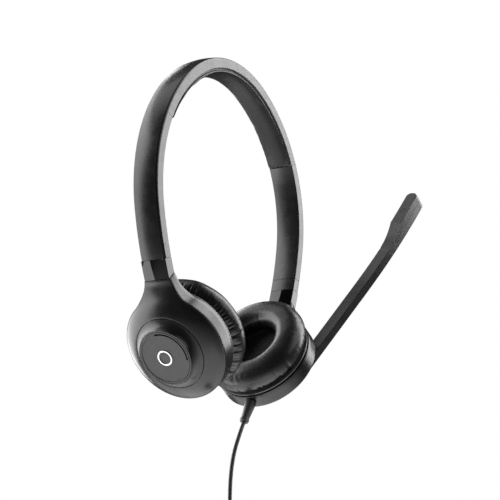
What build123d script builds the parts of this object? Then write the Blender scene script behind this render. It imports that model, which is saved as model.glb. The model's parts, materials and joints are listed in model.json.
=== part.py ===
"""Wired office headset: sprung headband, two toed-in ear cups on sliders and a swinging microphone boom.

Millimetres, +Z up. X runs ear to ear and the wearer faces -Y, so the wearer's left cup, with the boom
and the cord, is at +X. The origin is where the crown pad rests on the head. A cup's own axes are
x down along the arm, y towards the wearer's back and z outward, away from the head.
"""
from build123d import *
import os
from math import atan2, cos, pi, radians, sin, sqrt

# ---- headband: the outer curve runs from the crown down each arm as arcs, then a short straight
ARC_RADII = (66.5, 87.5, 180.0)
ARC_SWEEPS = (28.3, 71.2, 23.2)
ARM_STRAIGHT = 5.2
BAND_WIDTH = 15.8
BAND_THICKNESS = 6.8
COVER_THICKNESS = 1.1
OUTER_EDGE = 0.6
OUTER_CROWN = 0.6
OUTER_ROUND = 1.35
COVER_SKIRT = 2.0
COLLAR_ROUND = 0.3
WEB_WIDTH = 12.4
INNER_CROWN = 0.6
INNER_ROUND = 0.45
WEB_THICKNESS = 1.2
RAIL_WIDTH = 1.6
INNER_COVER_THICKNESS = 1.1
END_CAP_TOP = 3.3
# arc lengths from the crown at which one piece hands over to the next
PAD_END = 86.9
CAP_SEAM = 162.7
BAND_END = 170.1
NECK_SEAM = 181.1
SEAM_GAP = 0.2
PAD_DEPTH = 4.2
PAD_SIDE = 0.8
PAD_WIDTH = 14.6
CROWN_Z = BAND_THICKNESS + PAD_DEPTH
SPRING_END = 118.0
SPRING_SCREWS = (-110.0, 0.0, 110.0)
SPRING_INSET = 2.3
SPRING_THICKNESS = 0.6
SPRING_WIDTH = 8.0

# ---- sliders
SLIDE_TRAVEL = 22.0
SLIDE_MIDDLE = 153.0
SLIDE_INSET = 4.1
STRIP_LENGTH = 48.0
STRIP_ABOVE_MIDDLE = 17.0
STRIP_WIDTH = 8.4
STRIP_THICKNESS = 1.4
STRIP_CLEARANCE = 0.2
PEG_RADIUS = 1.1
PEG_X = BAND_END - SLIDE_MIDDLE + 6.0
NOTCH_PITCH = 2.75
NOTCH_COUNT = 8
WIRE_RADIUS = 0.6
WIRE_Y = 5.15
WIRE_BEND = 26.0
WIRE_END = 126.0

# ---- ear cups
CUP_RADIUS = 30.0
CUP_WALL_DEPTH = 8.7
SHELL = 1.6
DOME_RADIUS = 20.5
DOME_HEIGHT = 6.1
DOME_ARC_X = 13.8
DOME_ARC_Z = -14.75
DOME_ARC_RADIUS = 21.9
FLOOR_HEIGHT = 5.0
FLOOR_THICKNESS = 1.5
RING_RADIUS = 20.1
CAP_RADIUS = 15.0
CAP_HEIGHT = 11.6
CAP_THICKNESS = 1.3
HUB_FLOOR = 8.65
NECK_FILLET = 22.5
BAFFLE_RADIUS = 29.3
BAFFLE_TOP = 9.3
BAFFLE_THICKNESS = 0.9
CUSHION_OUTER = 30.9
CUSHION_HOLE = 14.0
CUSHION_TOP = 11.4
CUSHION_BOTTOM = 26.2
DRIVER_RADIUS = 16.0
POST_RING = 25.3
POST_ANGLES = (0, 120, 240)
SCREW_RADIUS = 1.1

# ---- microphone boom, measured from the cup's axis in the plane of the cup's face
BOOM_ANGLE = 21.5
BOOM_OFFSET = 14.1
BOOM_WIDTH = 7.6
BOOM_INNER = 6.5
BOOM_OUTER = 11.9
BOOM_STRAIGHT = 72.0
BOOM_BEND = 450.0
BOOM_TIP = 145.0
HEAD_START = 101.0
HEAD_FULL = 120.0
HEAD_INNER = 1.9
PIVOT_RADIUS = 9.0
TIP_ROUND = 3.3
BOOM_EDGE = 0.35

# ---- cord: 2.3 mm lead that leaves the left cup's lowest point and hangs
CORD_RADIUS = 1.15
RELIEF_Z = -4.4
RELIEF_LENGTH = 14.0
CORD_LENGTH = 1800.0
LEAD_ROUTE = [
    (20.0, 0.0, -195.0),
    (14.6, 0.0, -203.4),
    (10.0, 0.5, -213.2),
    (6.6, 0.2, -224.4),
    (4.0, -0.8, -236.0),
    (2.4, -2.0, -247.6),
    (4.6, -3.2, -258.3),
]
COIL_CENTRE = (-9.5, -0.5, -269.5)
COIL_RADIUS = 13.8
COIL_RADIAL = 9.6
COIL_AXIAL = 12.0
TAIL_ROUTE = [
    (-1.0, 3.5, -254.8),
    (5.6, 3.6, -255.6),
    (11.2, 3.0, -258.8),
    (13.8, 2.0, -264.6),
    (14.2, 1.2, -271.0),
]
TIE_ANGLE = 90.0
TIE_WIDTH = 5.0
TIE_THICKNESS = 1.0
PLUG_BODY_LENGTH = 19.0
PLUG_RELIEF_LENGTH = 8.0
PIN_RADIUS = 1.75
PIN_LENGTH = 14.0


# ---------------------------------------------------------------- geometry helpers
def outer_arc(s):
    """Centre x, z and radius of the outer arc that holds arc length s >= 0, its turn, and any excess."""
    x = 0.0
    z = CROWN_Z - ARC_RADII[0]
    turn = 0.0
    left = s
    for i, (radius, sweep) in enumerate(zip(ARC_RADII, ARC_SWEEPS)):
        length = radius * radians(sweep)
        last = i == len(ARC_RADII) - 1
        if left <= length or last:
            along = min(left, length)
            return x, z, radius, turn + along / radius, left - along
        left -= length
        turn += radians(sweep)
        step = radius - ARC_RADII[i + 1]
        x += step * sin(turn)
        z += step * cos(turn)


def band_point(s, inset=0.0):
    """The point at arc length s from the crown (negative on the -X side), inset from the outer curve."""
    x, z, radius, turn, excess = outer_arc(abs(s))
    px = x + (radius - inset) * sin(turn) + excess * cos(turn)
    pz = z + (radius - inset) * cos(turn) - excess * sin(turn)
    return Vector(px if s >= 0 else -px, 0, pz)


def band_curve(s_from, s_to, inset):
    """Edges along the band at one inset, split where the arcs meet."""
    breaks = []
    run = 0.0
    for radius, sweep in zip(ARC_RADII, ARC_SWEEPS):
        run += radius * radians(sweep)
        breaks += [run, -run]
    stops = sorted([s_from, s_to] + [b for b in breaks if s_from < b < s_to])
    edges = []
    for a, b in zip(stops, stops[1:]):
        if abs((a + b) / 2) > run:
            edges.append(Edge.make_line(band_point(a, inset), band_point(b, inset)))
        else:
            points = [band_point(t, inset) for t in (a, (a + b) / 2, b)]
            edges.append(Edge.make_three_point_arc(*points))
    return edges


def band_layer(s_from, s_to, inset_outer, inset_inner, width, y=0.0):
    """A layer of the band between two insets, width wide about y."""
    edges = band_curve(s_from, s_to, inset_outer) + band_curve(s_from, s_to, inset_inner)
    for s in (s_from, s_to):
        edges.append(Edge.make_line(band_point(s, inset_outer), band_point(s, inset_inner)))
    face = Face(Wire.combine(edges)[0])
    return Pos(0, y, 0) * extrude(face, amount=width / 2, dir=(0, 1, 0), both=True)


def crowned_section(width, outer, inner, crown_out=0.0, crown_in=0.0, round_out=0.0, round_in=0.0):
    """A section between two insets: x across the band, y outward, faces crowned and corners rounded."""
    half = width / 2
    face = Pos(0, -(outer + inner) / 2) * Rectangle(width, inner - outer)
    if round_out:
        face = fillet(face.vertices().sort_by(Axis.Y)[-2:], round_out)
    if round_in:
        face = fillet(face.vertices().sort_by(Axis.Y)[:2], round_in)
    if crown_out:
        face += crown_segment(half - round_out, -outer, crown_out)
    if crown_in:
        face += crown_segment(half - round_in, -inner, -crown_in)
    return face


def crown_segment(half, level, rise):
    """The shallow segment that stands on a flat face of half width half and rises in its middle."""
    arc = ThreePointArc((-half, level), (0, level + rise), (half, level))
    return make_face([arc, Line((half, level), (-half, level))])


def band_bar(s_from, s_to, section):
    """A section swept along the band's outer curve."""
    path = Wire(band_curve(s_from, s_to, 0))
    start = Plane(origin=path @ 0, x_dir=(0, 1, 0), z_dir=path % 0)
    return sweep(start * section, path=path)


def mirrored(part):
    return mirror(part, about=Plane.YZ)


def revolved(points):
    """A solid of revolution about z from (radius, z) points."""
    return revolve(make_face(Polyline([(r, 0, z) for r, z in points], close=True)), Axis.Z, 360)


def tube(points, radius):
    """A round tube along straight runs joined by arcs as large as the runs allow."""
    radii = corner_radii(points)
    path = FilletPolyline(*points, radius=radii)
    start = Plane(origin=path @ 0, z_dir=path % 0)
    return sweep(start * Circle(radius), path=path), path, radii


def corner_radii(points):
    """0.45 of the shorter run at each corner, over the tangent of half the turn."""
    radii = []
    for a, b, c in zip(points, points[1:], points[2:]):
        first = Vector(*b) - Vector(*a)
        second = Vector(*c) - Vector(*b)
        half_turn = radians(first.get_angle(second)) / 2
        radii.append(0.45 * min(first.length, second.length) * cos(half_turn) / sin(half_turn))
    return radii


def placed(side, part):
    """Move a part from the left cup's own axes to the left (+1) or right (-1) ear."""
    moved = CUP_PLACE * part
    return moved if side > 0 else mirrored(moved)


ARM_LENGTH = sum(r * radians(a) for r, a in zip(ARC_RADII, ARC_SWEEPS))
CUP_CENTRE = band_point(ARM_LENGTH + ARM_STRAIGHT)
CUP_TURN = radians(sum(ARC_SWEEPS))
DOWN_ARM = Vector(cos(CUP_TURN), 0, -sin(CUP_TURN))
OUTWARD = Vector(sin(CUP_TURN), 0, cos(CUP_TURN))
CUP_PLACE = Plane(origin=CUP_CENTRE, x_dir=DOWN_ARM, z_dir=OUTWARD).location


# ---------------------------------------------------------------- headband
def headband_outer_cover():
    """The outer skin, whose rolled edges reach down beside the frame's web."""
    section = crowned_section(BAND_WIDTH, OUTER_EDGE, COVER_SKIRT, crown_out=OUTER_CROWN, round_out=OUTER_ROUND)
    section -= crowned_section(WEB_WIDTH + 0.1, COVER_THICKNESS, COVER_SKIRT + 1)
    return band_bar(-BAND_END, BAND_END, section)


def web_section():
    """The frame's web, let in between the outer cover's edges."""
    return crowned_section(WEB_WIDTH, COVER_THICKNESS, COVER_THICKNESS + WEB_THICKNESS)


def crown_frame_section():
    """The channel under the crown: the web with a rail down each side of the pad."""
    outline = crowned_section(BAND_WIDTH, COVER_SKIRT, BAND_THICKNESS, round_in=INNER_ROUND)
    opening = BAND_WIDTH - 2 * RAIL_WIDTH
    web_inner = COVER_THICKNESS + WEB_THICKNESS
    return outline - crowned_section(opening, web_inner, BAND_THICKNESS + 1) + web_section()


def headband_frame():
    """Web from end to end, with rails at the crown and a solid end above each end cap."""
    rails_end = PAD_END + SEAM_GAP / 2
    frame = band_bar(-rails_end, rails_end, crown_frame_section())
    arm = band_bar(rails_end, CAP_SEAM, web_section())
    end_section = crowned_section(BAND_WIDTH, COVER_SKIRT, END_CAP_TOP)
    end_section += web_section()
    end = band_bar(CAP_SEAM, BAND_END, end_section) - slide_slot(STRIP_CLEARANCE)
    frame += arm + end
    frame += mirrored(arm + end)
    for s in SPRING_SCREWS:
        frame -= station(s, 0) * Cylinder(SCREW_RADIUS, 12)
    return frame


def station(s, inset):
    """A location on the band whose z points outward and x runs along the band."""
    turn = outer_arc(abs(s))[3] * (1 if s >= 0 else -1)
    outward = Vector(sin(turn), 0, cos(turn))
    along = Vector(cos(turn), 0, -sin(turn))
    return Plane(origin=band_point(s, inset), x_dir=along, z_dir=outward).location


def headband_spring():
    inner = SPRING_INSET + SPRING_THICKNESS
    spring = band_layer(-SPRING_END, SPRING_END, SPRING_INSET, inner, SPRING_WIDTH)
    for s in SPRING_SCREWS:
        spring -= station(s, 0) * Cylinder(SCREW_RADIUS, 12)
    return spring


def spring_screws():
    """Pan-head screws that hold the spring to the frame's web, driven from inside the channel."""
    screws = []
    for s in SPRING_SCREWS:
        shank = Pos(0, 0, -2.1) * Cylinder(SCREW_RADIUS, 1.8)
        head = Pos(0, 0, -3.4) * Cylinder(1.9, 0.8)
        socket = Pos(0, 0, -3.7) * Box(2.2, 0.5, 0.4)
        screws.append(station(s, 0) * (shank + head - socket))
    return screws


def crossover_wire():
    """The thin lead that carries sound to the right cup, laid along the channel beside the spring."""
    path = Wire(band_curve(-WIRE_END, WIRE_END, 3.9))
    start = Plane(origin=path @ 0, z_dir=path % 0)
    return Pos(0, WIRE_Y, 0) * sweep(start * Circle(WIRE_RADIUS), path=path)


def pad_base():
    """Stiff plate under the crown pad, snapped between the frame's rails by a lower tongue."""
    plate = band_layer(-PAD_END + 0.4, PAD_END - 0.4, BAND_THICKNESS, BAND_THICKNESS + 0.9, 13.6)
    tongue = band_layer(-PAD_END + 3, PAD_END - 3, 5.1, BAND_THICKNESS, BAND_WIDTH - 2 * RAIL_WIDTH - 0.2)
    return plate + tongue


def crown_pad():
    """The soft crown pad as a plain closed solid with a domed face."""
    top = BAND_THICKNESS + 0.95
    side = top + PAD_SIDE
    section = crowned_section(PAD_WIDTH, top, side, crown_in=CROWN_Z - side)
    return band_bar(-PAD_END + 0.6, PAD_END - 0.6, section)


def arm_inner_cover():
    """The left arm's inside cover: a channel that meets the outer cover's edges along both sides."""
    section = crowned_section(
        BAND_WIDTH, COVER_SKIRT, BAND_THICKNESS, crown_in=INNER_CROWN, round_in=INNER_ROUND)
    opening = BAND_WIDTH - 2 * RAIL_WIDTH
    section -= crowned_section(opening, COVER_SKIRT - 1, BAND_THICKNESS - INNER_COVER_THICKNESS)
    return band_bar(PAD_END + 3 * SEAM_GAP / 2, CAP_SEAM - SEAM_GAP, section)


# ---------------------------------------------------------------- sliders
SLIDE_TURN = outer_arc(SLIDE_MIDDLE)[3]
SLIDE_DOWN = Vector(cos(SLIDE_TURN), 0, -sin(SLIDE_TURN))
SLIDE_PLACE = Plane(
    origin=band_point(SLIDE_MIDDLE, SLIDE_INSET),
    x_dir=SLIDE_DOWN,
    z_dir=(sin(SLIDE_TURN), 0, cos(SLIDE_TURN)),
).location


def slide_slot(clearance):
    """The straight way that the left strip and its wire take through a piece of the arm."""
    length = 3 * STRIP_LENGTH
    slot = Box(length, STRIP_WIDTH + 2 * clearance, STRIP_THICKNESS + 2 * clearance)
    groove = Pos(0, WIRE_Y - 0.1, 0) * Box(length, 2.1, 1.6)
    return SLIDE_PLACE * (slot + groove)


def band_end_cap():
    """The inner half of the arm's end, which closes the slider's way below the inner cover."""
    section = crowned_section(
        BAND_WIDTH, END_CAP_TOP, BAND_THICKNESS, crown_in=INNER_CROWN, round_in=INNER_ROUND)
    return band_bar(CAP_SEAM, BAND_END, section) - slide_slot(STRIP_CLEARANCE)


def detent_spring():
    """Small sprung tongue in the arm that drops into the strip's notches."""
    base = Pos(5.0, -5.2, 0) * Box(2.0, 1.6, 1.6)
    tongue = Pos(0.5, -4.6, 0) * Box(9.0, 0.35, 1.4)
    return SLIDE_PLACE * (base + tongue)


def slider_strip():
    centre_x = STRIP_LENGTH / 2 - STRIP_ABOVE_MIDDLE
    strip = Pos(centre_x, 0, 0) * Box(STRIP_LENGTH, STRIP_WIDTH, STRIP_THICKNESS)
    strip = fillet(strip.edges().filter_by(Axis.Z), 1.0)
    for i in range(NOTCH_COUNT):
        notch_x = -STRIP_ABOVE_MIDDLE + 4.0 + i * NOTCH_PITCH
        strip -= Pos(notch_x, -STRIP_WIDTH / 2, 0) * Cylinder(0.6, 3)
    strip -= Pos(PEG_X, 0, 0) * Cylinder(PEG_RADIUS + 0.02, 3)
    return SLIDE_PLACE * strip


def slider_collar():
    """Gloss sleeve between the arm's end and the cup's neck, held on the strip by a peg."""
    section = crowned_section(
        BAND_WIDTH, OUTER_EDGE, BAND_THICKNESS, crown_out=OUTER_CROWN, crown_in=INNER_CROWN,
        round_out=COLLAR_ROUND, round_in=INNER_ROUND)
    collar = band_bar(BAND_END + SEAM_GAP, NECK_SEAM - SEAM_GAP, section)
    collar -= slide_slot(0.05)
    return collar + SLIDE_PLACE * Pos(PEG_X, 0, 0) * Cylinder(PEG_RADIUS, STRIP_THICKNESS + 0.4)


def wire_route(top):
    """The lead's way from the arm's channel, past the collar, into the cup."""
    start = SLIDE_PLACE * Pos(top, WIRE_Y, 0)
    bend = SLIDE_PLACE * Pos(WIRE_BEND, WIRE_Y, 0)
    inside = CUP_PLACE * Pos(-23.5, WIRE_Y, -3.6)
    return FilletPolyline(*[p.position for p in (start, bend, inside)], radius=6.0)


def wire_solid(top, radius):
    path = wire_route(top)
    return sweep(Plane(origin=path @ 0, z_dir=path % 0) * Circle(radius), path=path)


def arm_wire():
    """The lead beside the strip, from the arm's channel into the cup."""
    return wire_solid(-STRIP_ABOVE_MIDDLE + 2, WIRE_RADIUS)


# ---------------------------------------------------------------- ear cups, in the cup's own axes
def neck_outline():
    """Plan of the neck: as wide as the band, flaring into the round cup with a fillet each side."""
    half = BAND_WIDTH / 2
    reach = CUP_RADIUS + NECK_FILLET
    centre_x = -sqrt(reach ** 2 - (half + NECK_FILLET) ** 2)
    centre_y = half + NECK_FILLET
    touch = Vector(centre_x, centre_y) * (CUP_RADIUS / reach)
    middle_angle = (-pi / 2 + atan2(-centre_y, -centre_x)) / 2
    edges = []
    for side in (1, -1):
        top = Vector(-60, side * half)
        start = Vector(centre_x, side * half)
        middle_y = centre_y + NECK_FILLET * sin(middle_angle)
        middle = Vector(centre_x + NECK_FILLET * cos(middle_angle), side * middle_y)
        end = Vector(touch.X, side * touch.Y)
        edges.append(Edge.make_line(top, start))
        edges.append(Edge.make_three_point_arc(start, middle, end))
        edges.append(Edge.make_line(end, Vector(0, side * 6)))
    edges.append(Edge.make_line(Vector(-60, half), Vector(-60, -half)))
    edges.append(Edge.make_line(Vector(0, 6), Vector(0, -6)))
    return Face(Wire.combine(edges)[0])


def neck_solid():
    """The neck: the plan outline cut to the arm's side profile, a little deeper at the cup."""
    plan = CUP_PLACE * extrude(neck_outline(), amount=30, dir=(0, 0, 1), both=True)
    low = CUP_PLACE * Pos(-26, 0, -CUP_WALL_DEPTH)
    middle = band_point(NECK_SEAM + 9, BAND_THICKNESS + 0.9)
    start = band_point(NECK_SEAM + SEAM_GAP, BAND_THICKNESS)
    centre_low = (CUP_PLACE * Pos(0, 0, -CUP_WALL_DEPTH)).position
    edges = band_curve(NECK_SEAM + SEAM_GAP, ARM_LENGTH + ARM_STRAIGHT, 0)
    edges.append(Edge.make_line(band_point(NECK_SEAM + SEAM_GAP), start))
    edges.append(Edge.make_three_point_arc(start, middle, low.position))
    edges.append(Edge.make_line(low.position, centre_low))
    edges.append(Edge.make_line(centre_low, CUP_CENTRE))
    profile = extrude(Face(Wire.combine(edges)[0]), amount=45, dir=(0, 1, 0), both=True)
    return CUP_PLACE.inverse() * (plan & profile)


def dome_height(r):
    """Height of the domed face at radius r; past the rim it gives the skirt that runs into the neck."""
    return DOME_ARC_Z + sqrt(DOME_ARC_RADIUS ** 2 - (r - DOME_ARC_X) ** 2)


def dome_profile(outer_radius):
    """Half section of the dish's outside out to a radius: flat seat, domed face, straight side."""
    radii = (DOME_RADIUS, (DOME_RADIUS + outer_radius) / 2, outer_radius)
    points = [(r, 0, dome_height(r)) for r in radii]
    lines = Polyline(
        points[2], (outer_radius, 0, -CUP_WALL_DEPTH), (0, 0, -CUP_WALL_DEPTH),
        (0, 0, FLOOR_HEIGHT), (DOME_RADIUS, 0, FLOOR_HEIGHT), points[0],
    )
    return make_face([ThreePointArc(*points), lines])


def dish_solid():
    """The solid dish before it is hollowed, with a skirt that carries the dome on into the neck."""
    dish = revolve(dome_profile(CUP_RADIUS), Axis.Z, 360)
    skirt = revolve(dome_profile(CUP_RADIUS + 2.6), Axis.Z, 360)
    plan = extrude(neck_outline(), amount=30, dir=(0, 0, 1), both=True)
    return dish + (skirt & plan)


def dish_cavity():
    """The space inside the dish, a shell's thickness in from its outside."""
    radius = CUP_RADIUS - SHELL
    floor = FLOOR_HEIGHT - FLOOR_THICKNESS
    return revolved([
        (0, -CUP_WALL_DEPTH - 1), (radius, -CUP_WALL_DEPTH - 1), (radius, -1.4),
        (DOME_RADIUS, floor), (0, floor),
    ])


def screw_posts():
    floor = FLOOR_HEIGHT - FLOOR_THICKNESS
    posts = []
    for angle in POST_ANGLES:
        height = 7.4
        post = Cylinder(2.3, height) - Cylinder(SCREW_RADIUS, height + 1)
        low = -6.7
        posts.append(Rot(0, 0, angle + 60) * Pos(POST_RING, 0, low + height / 2) * post)
    return posts


def outer_housing(side):
    """One cup's outer shell with its neck. The left one has the boom's pivot and the cord's hole."""
    body = dish_solid() + neck_solid()
    body -= dish_cavity()
    for post in screw_posts():
        body += post & (Pos(0, 0, -CUP_WALL_DEPTH) * Cylinder(CUP_RADIUS - 0.5, 40))
    body -= CUP_PLACE.inverse() * slide_pocket()
    body -= CUP_PLACE.inverse() * wire_solid(20.0, 1.0)
    if side > 0:
        pivot_height = 8.7 - FLOOR_HEIGHT
        body += Pos(0, 0, FLOOR_HEIGHT + pivot_height / 2) * Cylinder(PIVOT_RADIUS, pivot_height)
        body -= Cylinder(6.5, 40)
        body -= Pos(CUP_RADIUS - 1, 0, RELIEF_Z) * Rot(0, 90, 0) * Cylinder(2.9, 8)
    return body


def slide_pocket():
    """The pocket at the top of the neck that the strip's foot is held in."""
    foot_x = STRIP_LENGTH - STRIP_ABOVE_MIDDLE
    length = 12.0
    pocket = Pos(foot_x - length / 2 + 0.1, 0, 0) * Box(length, STRIP_WIDTH + 0.1, STRIP_THICKNESS + 0.1)
    return SLIDE_PLACE * pocket


def cone_ring():
    """The right cup's fixed trim ring, a shallow cove from the dome up to the cap."""
    return ring_body(CAP_RADIUS + 0.15, FLOOR_HEIGHT)


def ring_body(bore, bottom):
    cove = ThreePointArc((RING_RADIUS, 0, DOME_HEIGHT + 0.1), (17.2, 0, 8.2), (15.7, 0, CAP_HEIGHT - 0.2))
    lines = Polyline(
        (15.7, 0, CAP_HEIGHT - 0.2), (bore, 0, CAP_HEIGHT - 0.2), (bore, 0, bottom),
        (RING_RADIUS, 0, bottom), (RING_RADIUS, 0, DOME_HEIGHT + 0.1),
    )
    return revolve(make_face([cove, lines]), Axis.Z, 360)


def cap_disc(side):
    """The flat cap: a shallow cup with a rounded rim and a long slot just inside the rim."""
    bottom = FLOOR_HEIGHT if side < 0 else HUB_FLOOR
    height = CAP_HEIGHT - bottom
    disc = Pos(0, 0, bottom + height / 2) * Cylinder(CAP_RADIUS, height)
    disc -= Pos(0, 0, CAP_HEIGHT - CAP_THICKNESS - height) * Cylinder(CAP_RADIUS - 2.0, 2 * height)
    disc = fillet(disc.edges().sort_by(Axis.Z)[-1], 0.45)
    disc -= Pos(0, 0, CAP_HEIGHT - 0.15) * Cylinder(CAP_RADIUS - 0.9, 0.3)
    slot = Cylinder(CAP_RADIUS - 0.95, 4.4) - Cylinder(CAP_RADIUS - 2.0, 4.4)
    wedge_points = [(0, 0)]
    for angle in (172, 199, 226, 253, 280):
        wedge_points.append((40 * cos(radians(angle)), 40 * sin(radians(angle))))
    wedge = extrude(make_face(Polyline(wedge_points, close=True)), amount=4.0, both=True)
    disc -= Pos(0, 0, CAP_HEIGHT) * (slot & wedge)
    return disc


def baffle(side):
    """Plate that closes the cup and carries the driver; the left one is notched for the strain relief."""
    plate = Pos(0, 0, -BAFFLE_TOP - BAFFLE_THICKNESS / 2) * Cylinder(BAFFLE_RADIUS, BAFFLE_THICKNESS)
    neck_depth = BAFFLE_TOP - 6.8
    neck = Pos(0, 0, -6.8 - neck_depth / 2) * (Cylinder(28.2, neck_depth) - Cylinder(22.2, neck_depth + 1))
    plate += neck
    plate -= Cylinder(DRIVER_RADIUS + 0.1, 40)
    for angle in POST_ANGLES:
        plate -= Rot(0, 0, angle + 60) * Pos(POST_RING, 0, 0) * Cylinder(SCREW_RADIUS, 40)
        plate -= Rot(0, 0, angle + 60) * Pos(POST_RING, 0, -10.2) * Cylinder(2.1, 2.4)
    if side > 0:
        plate -= Pos(26, 0, RELIEF_Z) * Rot(0, 90, 0) * Cylinder(4.0, 12)
    return plate


def cup_screws():
    """Three screws that pull the baffle up to the housing's posts."""
    screws = []
    for angle in POST_ANGLES:
        shank = Pos(0, 0, -5.5) * Cylinder(SCREW_RADIUS, 7.0)
        head = Pos(0, 0, -9.5) * Cylinder(1.9, 1.0)
        cross = Pos(0, 0, -9.9) * (Box(2.2, 0.5, 0.5) + Box(0.5, 2.2, 0.5))
        screws.append(Rot(0, 0, angle + 60) * Pos(POST_RING, 0, 0) * (shank + head - cross))
    return screws


def driver_basket():
    return revolved([
        (DRIVER_RADIUS, -10.0), (DRIVER_RADIUS, -7.8), (13.0, -5.0), (7.5, -5.0),
        (7.5, -5.9), (12.6, -5.9), (14.8, -8.0), (14.8, -10.0),
    ])


def driver_magnet():
    return revolved([(0, -7.4), (5.4, -7.4), (5.4, -6.0), (7.4, -6.0), (7.4, -2.4), (6.6, -1.9), (0, -1.9)])


def driver_diaphragm():
    return revolved([
        (14.6, -9.4), (11.0, -8.5), (6.0, -9.0), (3.0, -8.3), (0, -8.0),
        (0, -8.25), (3.0, -8.55), (6.0, -9.25), (11.0, -8.75), (14.6, -9.65),
    ])


def driver_grille():
    """Protective plate in front of the driver with rings of round holes."""
    plate = Pos(0, 0, -10.45) * Cylinder(15.9, 0.7)
    plate -= Pos(0, 0, -10.45) * Cylinder(1.0, 2)
    for ring, count in ((4.2, 6), (8.2, 12), (12.2, 18)):
        hole = Pos(ring, 0, -10.45) * Cylinder(1.0, 2)
        plate -= [Rot(0, 0, 360 * i / count) * hole for i in range(count)]
    return plate


def grille_cloth():
    return Pos(0, 0, -11.0) * Cylinder(15.6, 0.3)


def ear_cushion():
    """The soft ear cushion as a plain rounded ring."""
    middle = (CUSHION_OUTER + CUSHION_HOLE) / 2
    half_width = (CUSHION_OUTER - CUSHION_HOLE) / 2
    half_height = (CUSHION_BOTTOM - CUSHION_TOP) / 2
    section = Plane.XZ * Pos(middle, -(CUSHION_TOP + half_height)) * RectangleRounded(
        2 * half_width, 2 * half_height, 5.5)
    return revolve(section, Axis.Z, 360)


# ---------------------------------------------------------------- left cup: cord entry and electronics
def strain_relief():
    """Smooth tapered rubber sleeve, its flange inside the wall and a collar at its end."""
    tip = CUP_RADIUS + RELIEF_LENGTH
    profile = [
        (0, 25.6), (3.6, 25.6), (3.6, 27.0), (2.85, 27.0), (2.85, CUP_RADIUS + 0.3),
        (3.3, CUP_RADIUS + 0.5), (3.1, CUP_RADIUS + 2.5), (2.3, tip - 2.2), (2.6, tip - 2.0),
        (2.6, tip - 0.6), (2.3, tip), (0, tip),
    ]
    return Pos(0, 0, RELIEF_Z) * Rot(0, 90, 0) * revolved(profile)


def cable_clamp():
    """Bridge that grips the lead behind the strain relief, on the baffle side of the shell."""
    bridge = Pos(22.4, 0, RELIEF_Z) * Box(3.2, 9.0, 4.0)
    bridge -= Pos(22.4, 0, RELIEF_Z) * Rot(0, 90, 0) * Cylinder(CORD_RADIUS, 10)
    return bridge


def lead_core():
    """The lead's inner length, from the strain relief through the clamp to the board."""
    return Pos(20.6, 0, RELIEF_Z) * Rot(0, 90, 0) * Cylinder(CORD_RADIUS, 10)


def terminal_board():
    board = Pos(0, -19.0, -1.2) * Box(15.0, 7.0, 1.0)
    for i in range(4):
        board += Pos(-5.1 + 3.4 * i, -17.6, -1.9) * Box(1.4, 2.0, 0.5)
    return board


def boom_washer():
    """Thin slippery washer that the boom's hub turns on."""
    ring = Cylinder(18.0, 0.14) - Cylinder(PIVOT_RADIUS + 0.3, 0.14)
    return Pos(0, 0, FLOOR_HEIGHT + 0.1) * ring


def boom_keeper():
    """Plate screwed to the pivot's end that holds the hub down."""
    plate = Cylinder(12.0, 0.6) - Cylinder(5.0, 0.6)
    return Pos(0, 0, 9.05) * plate


# ---------------------------------------------------------------- microphone boom, in the cup's own axes
def boom_point(along, across):
    """A point in the cup face's plane: along the boom and across it, towards the wearer's front."""
    tilt = radians(BOOM_ANGLE)
    return Vector(
        -along * cos(tilt) + across * sin(tilt),
        -along * sin(tilt) - across * cos(tilt),
    )


def boom_side(along, across):
    """A point beside the boom's centre line, which bends gently backwards past its straight part."""
    if along <= BOOM_STRAIGHT:
        return boom_point(along, BOOM_OFFSET + across)
    angle = (along - BOOM_STRAIGHT) / BOOM_BEND
    radius = BOOM_BEND + across
    return boom_point(BOOM_STRAIGHT + radius * sin(angle), BOOM_OFFSET - BOOM_BEND + radius * cos(angle))


def boom_outline(start, end, half):
    """Plan of the boom between two stations; its corners at the tip are rounded where it is cut there."""
    edges = []
    for across in (-half, half):
        first = start
        if start < BOOM_STRAIGHT:
            edges.append(Edge.make_line(boom_side(start, across), boom_side(BOOM_STRAIGHT, across)))
            first = BOOM_STRAIGHT
        points = [boom_side(t, across) for t in (first, (first + end) / 2, end)]
        edges.append(Edge.make_three_point_arc(*points))
    for t in (start, end):
        edges.append(Edge.make_line(boom_side(t, -half), boom_side(t, half)))
    return Face(Wire.combine(edges)[0])


def boom_bar(start, end, half, low, high):
    return Pos(0, 0, low) * extrude(boom_outline(start, end, half), amount=high - low, dir=(0, 0, 1))


def tip_edges(part, radius=9.0):
    tip = boom_side(BOOM_TIP, 0)
    upright = part.edges().filter_by(Axis.Z)
    return [e for e in upright if (Vector((e @ 0.5).X, (e @ 0.5).Y) - tip).length < radius]


def boom_arm():
    """Hub and arm in one moulding, with a wire channel cut in from the outer face."""
    half = BOOM_WIDTH / 2
    arm = boom_bar(0, BOOM_TIP, half, BOOM_INNER, BOOM_OUTER)
    arm = fillet(tip_edges(arm), TIP_ROUND)
    upright = arm.edges().filter_by(Axis.Z)
    arm = fillet([e for e in arm.edges() if e not in upright], BOOM_EDGE)
    hub = ring_body(PIVOT_RADIUS + 0.05, FLOOR_HEIGHT + 0.2)
    arm += hub
    recess_height = 4.0
    arm -= Pos(0, 0, HUB_FLOOR + recess_height / 2) * Cylinder(CAP_RADIUS + 0.15, recess_height)
    arm -= Cylinder(PIVOT_RADIUS + 0.05, 40)
    arm -= boom_bar(10, 138, 2.2, BOOM_OUTER - 2.6, BOOM_OUTER + 1)
    arm -= boom_bar(122, 136, 2.6, BOOM_INNER - 1, BOOM_OUTER - 2.0)
    return arm


def boom_back_cover():
    """Strip that closes the wire channel on the boom's outer face."""
    return boom_bar(10.1, 137.9, 2.15, BOOM_OUTER - 0.9, BOOM_OUTER)


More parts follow.
